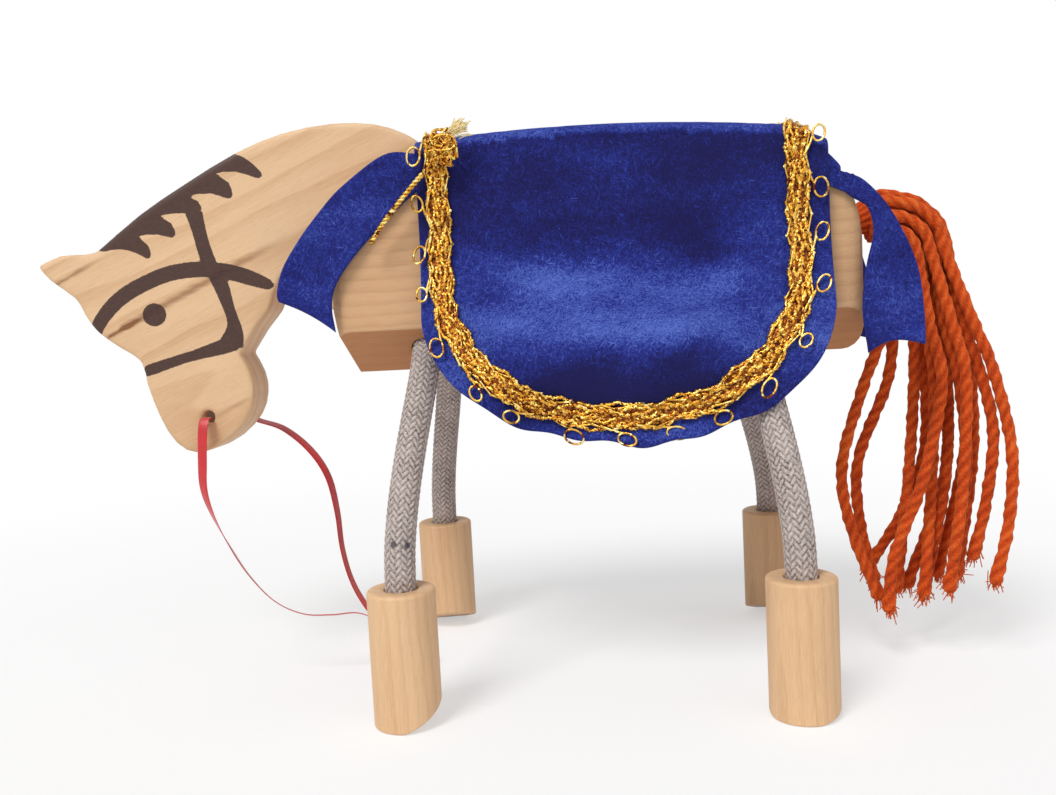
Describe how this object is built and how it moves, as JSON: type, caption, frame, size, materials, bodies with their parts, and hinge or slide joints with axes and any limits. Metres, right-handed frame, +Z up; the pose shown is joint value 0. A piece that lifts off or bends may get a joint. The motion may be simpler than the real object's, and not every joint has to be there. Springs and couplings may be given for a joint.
{
  "type": "toy horse",
  "caption": "Standing wooden toy horse with rope legs, dowel hooves, blue felt cloths edged in gold braid, a yarn tail and a loose ribbon rein.",
  "frame": {"origin": "middle of the underside of the box round the horse without its tail strands and rein, on the floor it stands on", "axes": "+X from head to tail, -Y the horse's left side, +Z up"},
  "size_m": [0.2512, 0.092, 0.1452],
  "materials": {
    "wood": "sanded and thinly oiled softwood",
    "dowel_wood": "raw sawn dowel",
    "rope": "plaited cotton rope",
    "blue_felt": "pressed wool felt",
    "gold_braid": "metallic thread braid",
    "red_ribbon": "satin ribbon",
    "tail_yarn": "soft twisted yarn"
  },
  "bodies": {
    "torso": {"torso_block": "wood", "head_neck": "wood", "neck_dowel": "dowel_wood", "rope_top_front_left": "rope", "rope_top_front_right": "rope", "rope_top_rear_left": "rope", "rope_top_rear_right": "rope", "saddle_cloth": "blue_felt", "chest_cloth": "blue_felt", "rump_cloth": "blue_felt", "gold_braid": "gold_braid", "braid_knot": "gold_braid", "braid_thread": "gold_braid", "rein_left": "red_ribbon", "rein_right": "red_ribbon", "rein_knot": "red_ribbon", "tail_plug": "tail_yarn"},
    "leg_front_left": {"rope_leg_front_left": "rope"},
    "foot_front_left": {"hoof_front_left": "dowel_wood", "rope_foot_front_left": "rope"},
    "leg_front_right": {"rope_leg_front_right": "rope"},
    "foot_front_right": {"hoof_front_right": "dowel_wood", "rope_foot_front_right": "rope"},
    "leg_rear_left": {"rope_leg_rear_left": "rope"},
    "foot_rear_left": {"hoof_rear_left": "dowel_wood", "rope_foot_rear_left": "rope"},
    "leg_rear_right": {"rope_leg_rear_right": "rope"},
    "foot_rear_right": {"hoof_rear_right": "dowel_wood", "rope_foot_rear_right": "rope"},
    "tail_root": {"tail_knot": "tail_yarn"},
    "tail": {"tail_strand_1_1": "tail_yarn", "tail_strand_1_2": "tail_yarn", "tail_strand_1_3": "tail_yarn", "tail_strand_2_1": "tail_yarn", "tail_strand_2_2": "tail_yarn", "tail_strand_2_3": "tail_yarn", "tail_strand_2_4": "tail_yarn", "tail_strand_3_1": "tail_yarn", "tail_strand_3_2": "tail_yarn", "tail_strand_3_3": "tail_yarn", "tail_strand_3_4": "tail_yarn", "tail_strand_4_1": "tail_yarn", "tail_strand_4_2": "tail_yarn", "tail_strand_4_3": "tail_yarn"}
  },
  "joints": [
    {"name": "hip_front_left", "type": "hinge", "parent": "torso", "child": "leg_front_left", "pos_m": [-0.00735, -0.01751, 0.08379], "axis": [0, 1, 0], "range_deg": [-20, 20], "stiffness_Nm_per_rad": 0.3},
    {"name": "ankle_front_left", "type": "hinge", "parent": "leg_front_left", "child": "foot_front_left", "pos_m": [-0.01285, -0.038, 0.0359], "axis": [0, 1, 0], "range_deg": [-20, 20], "stiffness_Nm_per_rad": 0.15},
    {"name": "hip_front_right", "type": "hinge", "parent": "torso", "child": "leg_front_right", "pos_m": [-0.00735, 0.01751, 0.08379], "axis": [0, 1, 0], "range_deg": [-20, 20], "stiffness_Nm_per_rad": 0.3},
    {"name": "ankle_front_right", "type": "hinge", "parent": "leg_front_right", "child": "foot_front_right", "pos_m": [-0.01435, 0.038, 0.0359], "axis": [0, 1, 0], "range_deg": [-20, 20], "stiffness_Nm_per_rad": 0.15},
    {"name": "hip_rear_left", "type": "hinge", "parent": "torso", "child": "leg_rear_left", "pos_m": [0.07315, -0.01751, 0.08379], "axis": [0, 1, 0], "range_deg": [-20, 12], "stiffness_Nm_per_rad": 0.3},
    {"name": "ankle_rear_left", "type": "hinge", "parent": "leg_rear_left", "child": "foot_rear_left", "pos_m": [0.07865, -0.038, 0.0359], "axis": [0, 1, 0], "range_deg": [-20, 20], "stiffness_Nm_per_rad": 0.15},
    {"name": "hip_rear_right", "type": "hinge", "parent": "torso", "child": "leg_rear_right", "pos_m": [0.07315, 0.01751, 0.08379], "axis": [0, 1, 0], "range_deg": [-20, 12], "stiffness_Nm_per_rad": 0.3},
    {"name": "ankle_rear_right", "type": "hinge", "parent": "leg_rear_right", "child": "foot_rear_right", "pos_m": [0.08415, 0.038, 0.0359], "axis": [0, 1, 0], "range_deg": [-20, 20], "stiffness_Nm_per_rad": 0.15},
    {"name": "tail_lift", "type": "hinge", "parent": "torso", "child": "tail_root", "pos_m": [0.10465, 0, 0.114], "axis": [0, 1, 0], "range_deg": [-45, 0]},
    {"name": "tail_swing", "type": "hinge", "parent": "tail_root", "child": "tail", "pos_m": [0.10465, 0, 0.114], "axis": [1, 0, 0], "range_deg": [-12, 12]}
  ]
}
